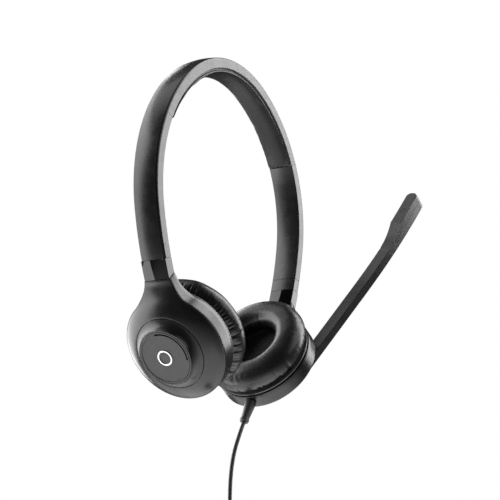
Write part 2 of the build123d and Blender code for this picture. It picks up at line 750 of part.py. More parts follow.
def mic_head_cover():
    """The thicker inner side of the microphone head, faired into the arm, with seven small holes."""
    half = BOOM_WIDTH / 2
    head = boom_bar(HEAD_START, BOOM_TIP, half, HEAD_INNER, BOOM_INNER)
    head = fillet(tip_edges(head), TIP_ROUND)
    head -= ramp_cutter()
    inner_rim = [e for e in head.edges() if abs((e @ 0.5).Z - HEAD_INNER) < 0.01]
    head = fillet(inner_rim, BOOM_EDGE)
    head -= boom_bar(123, 139, 2.4, HEAD_INNER + 1.2, BOOM_INNER + 1)
    for along, across_list in ((128.6, (-0.8, 0.8)), (130.2, (-1.6, 0, 1.6)), (131.8, (-0.8, 0.8))):
        for across in across_list:
            point = boom_side(along, across)
            head -= Pos(point.X, point.Y, HEAD_INNER) * Cylinder(0.32, 4)
    return head


def ramp_cutter():
    """What is cut away so that the head rises from the arm in a hollow curve."""
    before = HEAD_START - 6
    bend = ThreePointArc((HEAD_START, BOOM_INNER), (112.5, 5.0), (HEAD_FULL, HEAD_INNER))
    lines = Polyline(
        (HEAD_FULL, HEAD_INNER), (HEAD_FULL, -6), (before, -6), (before, BOOM_INNER),
        (HEAD_START, BOOM_INNER),
    )
    along_x = Plane(origin=(0, 0, 0), x_dir=(1, 0, 0), z_dir=(0, -1, 0))
    block = extrude(along_x * make_face([bend, lines]), amount=60, both=True)
    return Rot(0, 0, 180 + BOOM_ANGLE) * block


def mic_capsule():
    point = boom_side(130.2, 0)
    return Pos(point.X, point.Y, 5.2) * Cylinder(1.9, 2.6)


def mic_boot():
    """Rubber boot that seals the capsule to the cover's holes."""
    point = boom_side(130.2, 0)
    return Pos(point.X, point.Y, 5.0) * (Cylinder(2.35, 3.4) - Cylinder(1.9, 3.6))


def boom_wire():
    """The microphone's lead in the arm's channel."""
    height = BOOM_OUTER - 1.9
    stations = (24, 48, 72, 88, 104, 120, 129)
    places = [boom_side(t, 0.4 * (i % 2)) for i, t in enumerate(stations)]
    return tube([(place.X, place.Y, height) for place in places], 0.5)[0]


# ---------------------------------------------------------------- free cord
def coil_body():
    """Outer shape of the tied coil, a ring of rounded section whose axis runs front to back."""
    section = Pos(COIL_RADIUS, 0) * RectangleRounded(COIL_RADIAL, COIL_AXIAL, 3.6)
    ring = revolve(Plane.XZ * section, Axis.Z, 360)
    return Pos(*COIL_CENTRE) * Rot(90, 0, 0) * ring


def coil_tie():
    """Hook-and-loop strap round the bundle."""
    radial = COIL_RADIAL + 0.9
    axial = COIL_AXIAL + 0.3
    outer = RectangleRounded(radial + 2 * TIE_THICKNESS, axial + 2 * TIE_THICKNESS, 4.6)
    inner = RectangleRounded(radial, axial, 3.7)
    strap = extrude(outer - inner, amount=TIE_WIDTH / 2, both=True)
    turned = Pos(COIL_RADIUS, 0, 0) * Rot(90, 0, 0) * strap
    return Pos(*COIL_CENTRE) * Rot(90, 0, 0) * Rot(0, 0, TIE_ANGLE) * turned


def plug_place():
    """The plug's own axes: z down along the pin from the end of the tail."""
    end = Vector(*TAIL_ROUTE[-1])
    direction = (end - Vector(*TAIL_ROUTE[-2])).normalized()
    return Plane(origin=end, z_dir=direction).location


def plug_pieces():
    """A four-pole 3.5 mm plug: moulded body, sleeve, two rings, tip and the insulators between."""
    top = PLUG_RELIEF_LENGTH
    body_end = top + PLUG_BODY_LENGTH
    body = revolved([
        (0, 0), (1.7, 0), (2.4, top - 0.4), (3.3, top), (3.9, top + 2.0), (4.0, body_end - 3.0),
        (3.6, body_end), (0, body_end),
    ])
    for i in range(3):
        body -= Pos(0, 0, 2.0 + 2.0 * i) * (Cylinder(4, 0.5) - Cylinder(1.25 + 0.1 * i, 0.5))
    start = body_end + 0.8
    body += revolved([(0, body_end), (2.9, body_end), (2.9, start), (0, start)])
    pole_ends = [4.6, 7.7, 10.4]
    low = 0.0
    contacts = []
    insulators = []
    for high in pole_ends:
        contacts.append(Pos(0, 0, start + (low + high) / 2) * Cylinder(PIN_RADIUS, high - low))
        insulators.append(Pos(0, 0, start + high + 0.3) * Cylinder(PIN_RADIUS, 0.6))
        low = high + 0.6
    tip = revolved([
        (0, start + low), (PIN_RADIUS, start + low), (PIN_RADIUS, start + low + 0.5),
        (1.15, start + low + 1.1), (1.15, start + low + 1.4), (1.6, start + low + 1.9),
        (1.5, start + low + 2.3), (0.35, start + PIN_LENGTH), (0, start + PIN_LENGTH),
    ])
    pieces = {"plug_overmould": body, "plug_sleeve": contacts[0], "plug_rings": contacts[1:],
              "plug_insulators": insulators, "plug_tip": tip}
    place = plug_place()
    return {name: [place * p for p in piece] if isinstance(piece, list) else place * piece
            for name, piece in pieces.items()}


def report_cord(lead_path, lead_radii, tail_path, tail_radii):
    turns_length = CORD_LENGTH - lead_path.length - tail_path.length
    turns = turns_length / (2 * pi * COIL_RADIUS)
    print("lead", round(lead_path.length, 1), "radii", [round(r, 1) for r in lead_radii])
    print("tail", round(tail_path.length, 1), "radii", [round(r, 1) for r in tail_radii])
    print("coil", round(turns_length, 1), "mm in", round(turns, 1), "turns")


# ---------------------------------------------------------------- assembly
def write(name, part):
    solids = part if isinstance(part, list) else [part]
    shapes = [s for p in solids for s in p.solids()]
    out = shapes[0] if len(shapes) == 1 else Compound(children=shapes)
    export_step(out, f"parts/{name}.step")


def write_headband():
    write("headband_outer_cover", headband_outer_cover())
    write("headband_frame", headband_frame())
    write("headband_spring", headband_spring())
    write("headband_screws", spring_screws())
    write("crossover_wire", crossover_wire())
    write("crown_pad_base", pad_base())
    write("crown_pad", crown_pad())
    write("detent_springs", [detent_spring(), mirrored(detent_spring())])
    pieces = {"arm_inner_cover": arm_inner_cover(), "band_end_cap": band_end_cap()}
    for name, piece in pieces.items():
        write(f"{name}_left", piece)
        write(f"{name}_right", mirrored(piece))


def write_cup(side, name):
    arm = {"slider_strip": slider_strip(), "slider_collar": slider_collar(), "arm_wire": arm_wire()}
    for piece_name, piece in arm.items():
        write(f"{piece_name}_{name}", piece if side > 0 else mirrored(piece))
    cup = {
        "outer_housing": outer_housing(side), "cap_disc": cap_disc(side),
        "baffle": baffle(side), "driver_basket": driver_basket(), "driver_magnet": driver_magnet(),
        "driver_diaphragm": driver_diaphragm(), "driver_grille": driver_grille(),
        "grille_cloth": grille_cloth(), "ear_cushion": ear_cushion(),
    }
    for piece_name, piece in cup.items():
        write(f"{piece_name}_{name}", placed(side, piece))
    write(f"cup_screws_{name}", [placed(side, screw) for screw in cup_screws()])


def write_left_only():
    pieces = {
        "strain_relief": strain_relief(), "cable_clamp": cable_clamp(), "lead_core": lead_core(),
        "terminal_board": terminal_board(), "boom_washer": boom_washer(), "boom_keeper": boom_keeper(),
        "boom_arm": boom_arm(), "boom_back_cover": boom_back_cover(), "mic_head_cover": mic_head_cover(),
        "mic_capsule": mic_capsule(), "mic_boot": mic_boot(), "boom_wire": boom_wire(),
    }
    for name, piece in pieces.items():
        write(name, placed(1, piece))
    write("cone_ring", placed(-1, cone_ring()))


def write_cord():
    lead, lead_path, lead_radii = tube(LEAD_ROUTE, CORD_RADIUS)
    tail, tail_path, tail_radii = tube(TAIL_ROUTE, CORD_RADIUS)
    write("cord_lead", lead)
    write("cord_tail", tail)
    write("cord_coil", coil_body())
    write("coil_tie", coil_tie())
    for name, piece in plug_pieces().items():
        write(name, piece)
    report_cord(lead_path, lead_radii, tail_path, tail_radii)


os.makedirs("parts", exist_ok=True)
write_headband()
write_cup(1, "left")
write_cup(-1, "right")
write_left_only()
write_cord()
print("cup centre", CUP_CENTRE, "slide direction", SLIDE_DOWN, "outward", OUTWARD)
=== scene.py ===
"""Office headset: the looks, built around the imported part.

Metres, +Z up. X runs ear to ear and the wearer faces -Y. The cup pieces are built in the cup's own
axes (x down along the arm, y towards the wearer's back, z outward) in millimetres, then placed.
"""
import json
import math

import bpy
import numpy as np
from mathutils import Matrix, Vector, noise


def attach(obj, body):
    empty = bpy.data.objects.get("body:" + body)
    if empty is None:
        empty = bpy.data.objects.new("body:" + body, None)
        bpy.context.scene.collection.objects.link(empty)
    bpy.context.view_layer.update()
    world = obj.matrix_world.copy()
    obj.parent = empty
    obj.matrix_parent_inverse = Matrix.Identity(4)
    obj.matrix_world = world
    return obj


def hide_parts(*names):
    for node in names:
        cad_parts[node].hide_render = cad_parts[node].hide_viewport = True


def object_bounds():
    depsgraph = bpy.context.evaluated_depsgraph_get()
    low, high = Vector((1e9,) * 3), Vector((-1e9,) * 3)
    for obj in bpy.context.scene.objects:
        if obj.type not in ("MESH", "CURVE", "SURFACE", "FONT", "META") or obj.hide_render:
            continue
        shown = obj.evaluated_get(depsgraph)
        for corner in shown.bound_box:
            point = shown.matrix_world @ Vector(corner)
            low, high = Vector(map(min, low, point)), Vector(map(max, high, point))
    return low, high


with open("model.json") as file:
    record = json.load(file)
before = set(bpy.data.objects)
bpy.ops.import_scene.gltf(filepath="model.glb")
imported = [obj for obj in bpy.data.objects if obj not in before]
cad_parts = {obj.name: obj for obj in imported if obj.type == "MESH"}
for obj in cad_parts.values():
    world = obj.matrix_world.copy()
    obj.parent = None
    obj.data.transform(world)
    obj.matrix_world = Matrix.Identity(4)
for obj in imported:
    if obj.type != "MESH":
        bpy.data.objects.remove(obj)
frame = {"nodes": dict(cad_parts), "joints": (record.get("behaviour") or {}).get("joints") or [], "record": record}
cad_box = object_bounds()
MM = 0.001

# ---- the cup's own axes come from the boom's joint, which turns about the left cup's axis
BOOM_JOINT = next(j for j in frame["joints"] if j["name"] == "boom_swing")
CUP_CENTRE = Vector(BOOM_JOINT["pos_m"])
OUTWARD = Vector(BOOM_JOINT["axis"]).normalized()
DOWN_ARM = Vector((0, 1, 0)).cross(OUTWARD)

BOOM_ANGLE = math.radians(21.5)
BOOM_ALONG = -(DOWN_ARM * math.cos(BOOM_ANGLE) + Vector((0, 1, 0)) * math.sin(BOOM_ANGLE))
HEAD_FOOT = 101.0

# ---- headband, in millimetres: arcs from the crown down each arm, then a short straight
BAND_ARCS = ((66.5, 28.3), (87.5, 71.2), (180.0, 23.2))
BAND_TOP = 11.0
PAD_END = 86.3
PAD_BASE_INSET = 7.75
PAD_DEPTH = 3.25
PAD_HALF_WIDTH = 7.3
PAD_END_ROUND = 1.2

# ---- cup housing, in millimetres
CUP_RADIUS = 30.0
DOME_RADIUS = 20.5
DOME_ARC = (13.8, -14.75, 21.9)
DOME_KNEE = 29.0
SEAT_HEIGHT = 5.0
FLOOR_UNDERSIDE = 3.5
WALL_BOTTOM = -8.7
OPENING_RADIUS = 28.4
HUB_BORE = 6.5
HUB_RADIUS = 9.0
HUB_SEAT = 8.7
NECK_FILLET = 22.5
NECK_HALF = 7.9
NECK_END = 38.17
NECK_ARC_RADIUS = 180.0
NECK_STRAIGHT = 5.2
NECK_CROWN = 0.6
NECK_DROP = 1.04
END_TILT = 0.185

# ---- ear cushion, in millimetres: seams are (radius, height)
CUSHION_MIDDLE = 22.4
CUSHION_HALF_WIDTH = 8.3
CUSHION_BASE = -10.5
CUSHION_FACE = -25.9
CUSHION_SQUARENESS = 2.25
CUSHION_PINNED_ABOVE = -11.2
OUTER_SEAM = (30.6, -11.8)
INNER_SEAM = (14.4, -17.0)

# ---- cord, in metres
CORD_DIAMETER = 0.0023
LEAD = [
    (0.0200, 0.0, -0.1950),
    (0.0146, 0.0, -0.2034),
    (0.0100, 0.0005, -0.2132),
    (0.0066, 0.0002, -0.2244),
    (0.0040, -0.0008, -0.2360),
    (0.0024, -0.0020, -0.2476),
    (0.0046, -0.0032, -0.2583),
]
TAIL = [
    (-0.0010, 0.0035, -0.2548),
    (0.0056, 0.0036, -0.2556),
    (0.0112, 0.0030, -0.2588),
    (0.0138, 0.0020, -0.2646),
    (0.0142, 0.0012, -0.2710),
]
COIL_CENTRE = Vector((-0.0095, -0.0005, -0.2695))
COIL_RADIUS = 0.0138
TURN_SPACING = 0.00245
TURN_POINTS = 16
# the turns' places in the bundle, in the order they are wound, as
# (column from front to back, row from inside to outside)
WINDING = (
    [(0, 3), (0, 2), (0, 1), (0, 0), (1, 0), (1, 1), (1, 2), (1, 3), (2, 3), (2, 2), (2, 1), (2, 0)]
    + [(3, 0), (4, 0), (4, 1), (3, 1), (3, 2), (4, 2), (4, 3), (3, 3)]
)
ENTRY_ANGLE = math.radians(38)
LEAVE_ANGLE = math.radians(62)

# ---- camera and studio, in metres and degrees
CAMERA_AT = (-0.6916, -0.4501, -0.2589)
CAMERA_AZIMUTH = -57.95
CAMERA_ELEVATION = -10.93
CAMERA_ROLL = -0.23
CAMERA_LENS = 107.1
FLOOR_DROP = 1.1
FLOOR_HALF = 4.0
STUDIO_CENTRE = Vector((0, 0, -0.09))

# ---- cloth: the padding is simulated at this many times its size, for this many frames
SIM_SCALE = 8.0
SIM_FRAMES = 20


# ---------------------------------------------------------------- camera
def make_camera():
    azimuth = math.radians(CAMERA_AZIMUTH)
    elevation = math.radians(CAMERA_ELEVATION)
    roll = math.radians(CAMERA_ROLL)
    back = Vector((
        math.sin(azimuth) * math.cos(elevation),
        -math.cos(azimuth) * math.cos(elevation),
        math.sin(elevation),
    ))
    data = bpy.data.cameras.new("camera")
    data.lens = CAMERA_LENS
    data.sensor_width = 36.0
    data.clip_start = 0.05
    data.clip_end = 50.0
    camera = bpy.data.objects.new("camera", data)
    bpy.context.scene.collection.objects.link(camera)
    right = Vector((math.cos(azimuth), math.sin(azimuth), 0))
    up = back.cross(right)
    turned_right = math.cos(roll) * right + math.sin(roll) * up
    turned_up = back.cross(turned_right)
    turn = Matrix((turned_right, turned_up, back)).transposed().to_4x4()
    camera.matrix_world = Matrix.Translation(CAMERA_AT) @ turn
    bpy.context.scene.camera = camera


# ---------------------------------------------------------------- mesh helpers
def smoothstep(t):
    t = np.clip(t, 0, 1)
    return t * t * (3 - 2 * t)


def new_object(name, vertices, faces, smooth_angle=None):
    mesh = bpy.data.meshes.new(name)
    mesh.from_pydata([tuple(v) for v in vertices], [], faces)
    mesh.validate()
    mesh.shade_smooth()
    if smooth_angle is not None:
        mesh.set_sharp_from_angle(angle=math.radians(smooth_angle))
    obj = bpy.data.objects.new(name, mesh)
    bpy.context.scene.collection.objects.link(obj)
    return obj


def grid_faces(rows, columns, close_rows, close_columns, flip=False):
    """Quads over a rows x columns grid of points, closed round in either direction."""
    faces = []
    for i in range(rows if close_rows else rows - 1):
        for j in range(columns if close_columns else columns - 1):
            a = i * columns + j
            b = i * columns + (j + 1) % columns
            c = ((i + 1) % rows) * columns + (j + 1) % columns
            d = ((i + 1) % rows) * columns + j
            faces.append((a, d, c, b) if flip else (a, b, c, d))
    return faces


def cup_points(points, side):
    """Points in a cup's own axes, in millimetres, to the part's frame in metres."""
    points = np.asarray(points, float) * MM
    axes = np.array([DOWN_ARM, (0, 1, 0), OUTWARD])
    placed = points @ axes + np.array(CUP_CENTRE)
    return placed * np.array([side, 1, 1])


def to_cup(points, side):
    """The way back: points in the part's frame to a cup's own axes in millimetres."""
    axes = np.array([DOWN_ARM, (0, 1, 0), OUTWARD])
    return (np.asarray(points, float) * np.array([side, 1, 1]) - np.array(CUP_CENTRE)) @ axes.T / MM


def read_points(mesh):
    co = np.zeros(len(mesh.vertices) * 3)
    mesh.vertices.foreach_get("co", co)
    return co.reshape(-1, 3)


def write_points(mesh, points):
    mesh.vertices.foreach_set("co", np.asarray(points, np.float32).ravel())
    mesh.update()


def read_normals(mesh):
    normals = np.zeros(len(mesh.vertices) * 3, np.float32)
    mesh.vertex_normals.foreach_get("vector", normals)
    return normals.reshape(-1, 3).astype(float)


def apply_modifiers(obj):
    evaluated = obj.evaluated_get(bpy.context.evaluated_depsgraph_get())
    mesh = bpy.data.meshes.new_from_object(evaluated)
    obj.modifiers.clear()
    obj.data = mesh
    mesh.shade_smooth()


def subdivide(obj):
    obj.modifiers.new("subdivision", "SUBSURF").levels = 1
    apply_modifiers(obj)


def turned(section, around):
    """A closed section of (radius, height) turned about the cup's axis, as one grid of points."""
    points = []
    for i in range(around):
        a = 2 * math.pi * i / around
        points += [(r * math.cos(a), r * math.sin(a), z) for r, z in section]
    return points


def place(obj, body, slot_name, *nodes):
    obj.data.materials.append(MATERIALS[slot_name])
    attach(obj, body)
    if nodes:
        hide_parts(*nodes)
    return obj


def inflate(obj, pinned, pressure, cap_mm):
    """Swell a padded piece as cloth round its pinned base, no point moving more than the cap."""
    rest = read_points(obj.data)
    write_points(obj.data, rest * SIM_SCALE)
    obj.vertex_groups.new(name="pinned").add([int(i) for i in pinned], 1.0, "REPLACE")
    cloth = obj.modifiers.new("cloth", "CLOTH")
    cloth.settings.quality = 5
    cloth.settings.bending_stiffness = 1.5
    cloth.settings.use_pressure = True
    cloth.settings.uniform_pressure_force = pressure
    cloth.settings.shrink_min = -0.025
    cloth.settings.vertex_group_mass = "pinned"
    cloth.settings.effector_weights.gravity = 0
    cloth.collision_settings.use_collision = False
    cloth.point_cache.frame_start = 1
    cloth.point_cache.frame_end = SIM_FRAMES
    for step in range(1, SIM_FRAMES + 1):
        bpy.context.scene.frame_set(step)
    evaluated = obj.evaluated_get(bpy.context.evaluated_depsgraph_get())
    moved = read_points(evaluated.data) / SIM_SCALE - rest
    far = np.linalg.norm(moved, axis=1, keepdims=True)
    print("cloth", obj.name, "moved up to", round(float(far.max()) / MM, 2), "mm")
    moved *= np.minimum(1, cap_mm * MM / np.maximum(far, 1e-9))
    obj.modifiers.clear()
    obj.vertex_groups.clear()
    write_points(obj.data, rest + moved)
    bpy.context.scene.frame_set(1)


# ---------------------------------------------------------------- cord
def coil_points():
    """The coil's turns as points: each turn lies in its own place in the bundle and shifts near its end."""
    turns = len(WINDING) - (LEAVE_ANGLE - ENTRY_ANGLE) / (2 * math.pi)
    count = round(turns * TURN_POINTS)
    points = []
    for i in range(count + 1):
        travel = turns * i / count
        index = min(int(travel), len(WINDING) - 1)
        after = min(index + 1, len(WINDING) - 1)
        share = float(smoothstep((travel - index - 0.72) / 0.28))
        column = WINDING[index][0] * (1 - share) + WINDING[after][0] * share
        row = WINDING[index][1] * (1 - share) + WINDING[after][1] * share
        angle = ENTRY_ANGLE - 2 * math.pi * travel
        radius = COIL_RADIUS + (row - 1.5) * TURN_SPACING
        offset = Vector((radius * math.cos(angle), (column - 2) * TURN_SPACING, radius * math.sin(angle)))
        points.append(tuple(COIL_CENTRE + offset))
    return points


def make_cord():
    points = LEAD[:-1] + coil_points() + TAIL[1:]
    curve = bpy.data.curves.new("cord", "CURVE")
    curve.dimensions = "3D"
    curve.bevel_depth = CORD_DIAMETER / 2
    curve.bevel_resolution = 4
    curve.resolution_u = 6
    curve.use_fill_caps = True
    spline = curve.splines.new("NURBS")
    spline.points.add(len(points) - 1)
    for point, place_at in zip(spline.points, points):
        point.co = (*place_at, 1)
    spline.order_u = 3
    spline.use_endpoint_u = True
    cord = bpy.data.objects.new("cord", curve)
    bpy.context.scene.collection.objects.link(cord)
    place(cord, "cup_left", "cord_black", "cord_lead", "cord_coil", "cord_tail")
    return cord


def make_tie():
    """Hook-and-loop strap wrapped once round the bundle and a little over itself."""
    half_radial = 1.5 * TURN_SPACING + CORD_DIAMETER / 2 + 0.0004
    half_axial = 2 * TURN_SPACING + CORD_DIAMETER / 2 + 0.0004
    middle = COIL_CENTRE + Vector((0, 0, COIL_RADIUS))
    thickness = 0.0009
    wraps = 1.18
    stations = 110
    section = []
    for i in range(16):
        angle = 2 * math.pi * i / 16
        across = 0.0025 * np.sign(math.cos(angle)) * abs(math.cos(angle)) ** 0.35
        out = thickness / 2 * np.sign(math.sin(angle)) * abs(math.sin(angle)) ** 0.6
        section.append((across, out))
    points = []
    for i in range(stations):
        turn = wraps * i / (stations - 1)
        angle = 2 * math.pi * turn + math.pi / 2
        lift = thickness * (0.5 + 1.1 * float(smoothstep((turn - 0.93) / 0.07)))
        cosine, sine = math.cos(angle), math.sin(angle)
        squared = (abs(cosine) ** 3.2 + abs(sine) ** 3.2) ** (-1 / 3.2)
        axial = (half_axial + lift) * squared * cosine
        radial = (half_radial + lift) * squared * sine
        outward = Vector((0, cosine / half_axial, sine / half_radial)).normalized()
        for across, out in section:
            points.append(middle + Vector((across, axial, radial)) + outward * out)
    faces = grid_faces(stations, 16, False, True)
    faces.append(tuple(range(15, -1, -1)))
    faces.append(tuple((stations - 1) * 16 + i for i in range(16)))
    tie = new_object("coil_strap", points, faces, 50)
    return place(tie, "cup_left", "tie_fabric", "coil_tie")


# ---------------------------------------------------------------- cup housing
def cup_outline():
    """Plan of a housing: the round cup, a fillet each side and the neck's rounded end, as a closed loop."""
    reach = CUP_RADIUS + NECK_FILLET
    centre_x = -math.sqrt(reach ** 2 - (NECK_HALF + NECK_FILLET) ** 2)
    centre_y = NECK_HALF + NECK_FILLET
    touch = math.atan2(centre_y, centre_x)
    start = touch - math.pi
    end = -math.acos((-NECK_END - centre_x) / NECK_FILLET)
    corner = 0.35
    half = [(CUP_RADIUS * math.cos(a), CUP_RADIUS * math.sin(a)) for a in np.linspace(0, touch, 84)]
    for a in np.linspace(start, end, 36)[1:]:
        half.append((centre_x + NECK_FILLET * math.cos(a), centre_y + NECK_FILLET * math.sin(a)))
    half_end = half.pop()[1]
    for a in np.linspace(0.1, math.pi / 2, 5):
        half.append((-NECK_END + corner * (1 - math.sin(a)), half_end - corner * (1 - math.cos(a))))
    for y in np.linspace(half_end - corner, 0, 9)[1:]:
        half.append((-NECK_END, y))
    half = np.array(half)
    return np.vstack([half, half[1:-1][::-1] * np.array([1, -1])])


def loop_normals(outline):
    tangent = np.roll(outline, -1, axis=0) - np.roll(outline, 1, axis=0)
    tangent /= np.linalg.norm(tangent, axis=1, keepdims=True)
    return np.column_stack([tangent[:, 1], -tangent[:, 0]])


def neck_half_width(x):
    reach = CUP_RADIUS + NECK_FILLET
    centre_y = NECK_HALF + NECK_FILLET
    centre_x = -math.sqrt(reach ** 2 - centre_y ** 2)
    along = np.clip(x - centre_x, 0, NECK_FILLET * 0.9)
    return centre_y - np.sqrt(NECK_FILLET ** 2 - along ** 2)


def face_height(xy):
    """Height of a housing's outer face: the dome and the neck, run softly into one another."""
    x, y = xy[:, 0], xy[:, 1]
    r = np.hypot(x, y)
    centre_r, centre_z, radius = DOME_ARC
    knee = np.minimum(r, DOME_KNEE)
    fall = np.sqrt(radius ** 2 - (knee - centre_r) ** 2)
    dome = centre_z + fall - (r - knee) * (knee - centre_r) / fall
    u = np.maximum(-x - NECK_STRAIGHT, 0)
    neck = np.sqrt(NECK_ARC_RADIUS ** 2 - u ** 2) - NECK_ARC_RADIUS
    across = np.clip(y / neck_half_width(x), -1, 1)
    neck = neck - NECK_CROWN * across ** 2 * smoothstep((-x - 14) / 14)
    angle = np.degrees(np.arccos(np.clip(-x / np.maximum(r, 1e-6), -1, 1)))
    reach = 3.4 * (1 - smoothstep((angle - 26) / 26)) + 1e-3
    near = np.maximum(reach - np.abs(dome - neck), 0) / reach
    height = np.maximum(dome, neck) + near ** 2 * reach / 4
    return np.where(angle > 60, dome, height)


def housing_rings(side):
    """Rings of points from the seat out over the face, round the wall and back through the inside."""
    outline = cup_outline()
    normals = loop_normals(outline)
    radial = outline / np.linalg.norm(outline, axis=1, keepdims=True)
    at_neck = smoothstep((-outline[:, 0] - 26) / 10)
    bevel = (0.55 + 0.3 * at_neck)[:, None]
    inset = outline - bevel * normals
    rings = []

    def ring(xy, z):
        rings.append(np.column_stack([xy, np.broadcast_to(z, len(xy))]))

    bore, seat = (HUB_BORE, HUB_SEAT) if side > 0 else (1.0, SEAT_HEIGHT)
    ring(radial * bore, FLOOR_UNDERSIDE)
    ring(radial * bore, seat)
    if side > 0:
        ring(radial * HUB_RADIUS, seat)
        ring(radial * HUB_RADIUS, SEAT_HEIGHT)
    ring(radial * (DOME_RADIUS - 0.02), SEAT_HEIGHT)
    ring(radial * DOME_RADIUS, SEAT_HEIGHT + 0.5)
    ring(radial * DOME_RADIUS, face_height(radial * DOME_RADIUS) - 0.25)
    for t in np.concatenate([[0.006, 0.02], np.linspace(0.05, 0.95, 24), [0.985, 1.0]]):
        xy = radial * DOME_RADIUS * (1 - t) + inset * t
        ring(xy, face_height(xy) - (0.06 if t == 0.006 else 0))
    rim = face_height(inset)
    for a in np.radians([22, 45, 68, 90]):
        ring(outline - bevel * normals * (1 - math.sin(a)), rim - bevel[:, 0] * (1 - math.cos(a)))
    bottom = WALL_BOTTOM - NECK_DROP * smoothstep((-outline[:, 0] - 31) / 7.2)
    top = rim - bevel[:, 0]
    for t in (0.15, 0.4, 0.7, 1.0):
        ring(outline, top + (bottom + 0.3 - top) * t)
    ring(outline - 0.09 * normals, bottom + 0.09)
    ring(outline - 0.3 * normals, bottom)
    ring((outline - 0.3 * normals + radial * OPENING_RADIUS) / 2, (bottom + WALL_BOTTOM) / 2)
    ring(radial * OPENING_RADIUS, WALL_BOTTOM)
    ring(radial * OPENING_RADIUS, -5.0)
    ring(radial * OPENING_RADIUS, -1.4)
    ring(radial * DOME_RADIUS, FLOOR_UNDERSIDE)
    tilt = smoothstep((-outline[:, 0] - 34) / (NECK_END - 34))
    for points in rings:
        outer = np.hypot(points[:, 0], points[:, 1]) > CUP_RADIUS - 1
        points[:, 0] -= np.where(outer, END_TILT * tilt * np.maximum(rim - points[:, 2], 0), 0)
    return rings


def make_housing(side, name):
    rings = housing_rings(side)
    points = cup_points(np.vstack(rings), side)
    faces = grid_faces(len(rings), len(rings[0]), True, True, flip=side > 0)
    housing = new_object(f"housing_{name}", points, faces, 40)
    return place(housing, f"cup_{name}", "shell_black", f"outer_housing_{name}")


# ---------------------------------------------------------------- padding
def cushion_section(count):
    """Half section of an ear cushion as (radius, height), from its inner seam round to the outer one."""
    middle, half_width = CUSHION_MIDDLE, CUSHION_HALF_WIDTH
    base, low = CUSHION_BASE, CUSHION_FACE
    points = []
    for i in range(count):
        a = 2 * math.pi * i / count
        c, s = math.cos(a), math.sin(a)
        scale = (abs(c) ** CUSHION_SQUARENESS + abs(s) ** CUSHION_SQUARENESS) ** (-1 / CUSHION_SQUARENESS)
        r = middle + half_width * scale * c
        z = (base + low) / 2 + (base - low) / 2 * scale * s
        if s > 0:
            r = middle + (r - middle) * (1 - 0.06 * s)
            z = min(z, base)
        points.append((r, z))
    return points


def crease(theta, distance, marks, radius):
    """Depth of the gathers that run off a seam, at angles theta and distances from the seam."""
    depth = np.zeros_like(theta)
    for angle, deep, wide, long in marks:
        across = (np.mod(theta - angle + math.pi, 2 * math.pi) - math.pi) * radius
        depth = np.maximum(depth, deep * np.exp(-(across / wide) ** 2) * np.exp(-(distance / long) ** 2))
    return depth


def gathers(random, count, deep, wide, long):
    marks = []
    for i in range(count):
        angle = 2 * math.pi * (i + random.uniform(-0.35, 0.35)) / count
        weight = random.uniform(0.25, 1.0) ** 1.3
        marks.append((angle, deep * weight, wide * random.uniform(0.8, 1.4), long * random.uniform(0.6, 1.5)))
    return marks


def make_cushion(side, name):
    """Rolled leatherette ring, swelled as cloth on its base, then gathered along both seams."""
    around, count = 256, 36
    points = turned(cushion_section(count), around)
    faces = grid_faces(around, count, True, True, flip=side > 0)
    cushion = new_object(f"cushion_{name}", cup_points(points, side), faces)
    base = [i for i, p in enumerate(points) if p[2] > CUSHION_PINNED_ABOVE]
    inflate(cushion, base, 4.0, 0.9)
    subdivide(cushion)
    local = to_cup(read_points(cushion.data), side)
    normals = read_normals(cushion.data)
    theta = np.arctan2(local[:, 1], local[:, 0])
    r = np.hypot(local[:, 0], local[:, 1])
    z = local[:, 2]
    random = np.random.default_rng(11 if side > 0 else 23)
    outer_seam = np.hypot(r - OUTER_SEAM[0], z - OUTER_SEAM[1])
    inner_seam = np.hypot(r - INNER_SEAM[0], z - INNER_SEAM[1])
    depth = crease(theta, outer_seam, gathers(random, 84, 0.95, 0.5, 2.6), 30.0)
    depth = np.maximum(depth, crease(theta, outer_seam, gathers(random, 17, 1.15, 0.75, 5.0), 30.0))
    depth += crease(theta, inner_seam, gathers(random, 34, 0.75, 0.6, 4.2), 15.0) * (z < -11)
    soft = np.array([noise.noise(Vector(p) * 0.11 + Vector((side * 40, 0, 0))) for p in local])
    depth += 0.22 * soft * smoothstep((-z - 12) / 5)
    write_points(cushion.data, read_points(cushion.data) - normals * depth[:, None] * MM)
    place(cushion, f"cup_{name}", "cushion_leatherette", f"ear_cushion_{name}")
    return cushion


def band_place(s):
    """Point, outward and along directions of the band's outer curve at arc length s, in millimetres."""
    x, z, turn, left = 0.0, BAND_TOP - BAND_ARCS[0][0], 0.0, abs(s)
    for i, (radius, sweep) in enumerate(BAND_ARCS):
        length = radius * math.radians(sweep)
        if left <= length:
            break
        left -= length
        turn += math.radians(sweep)
        if i + 1 < len(BAND_ARCS):
            x += (radius - BAND_ARCS[i + 1][0]) * math.sin(turn)
            z += (radius - BAND_ARCS[i + 1][0]) * math.cos(turn)
    turn += left / radius
    sign = 1 if s >= 0 else -1
    outward = np.array([sign * math.sin(turn), 0, math.cos(turn)])
    along = np.array([math.cos(turn), 0, -sign * math.sin(turn)])
    return np.array([sign * x, 0, z]) + outward * radius, outward, along


def pad_section(count):
    """Section of the crown pad as (across, depth below its base): flat base, short sides, domed face."""
    points = []
    for i in range(count):
        a = 2 * math.pi * i / count
        c, s = math.cos(a), math.sin(a)
        if s > 0:
            scale = (abs(c) ** 2.1 + s ** 2.1) ** (-1 / 2.1)
            depth = PAD_DEPTH * (0.2 + 0.8 * scale * s)
        else:
            scale = (abs(c) ** 6 + abs(s) ** 6) ** (-1 / 6)
            depth = PAD_DEPTH * (0.2 + 0.2 * scale * s)
        points.append((PAD_HALF_WIDTH * scale * c, depth))
    return points


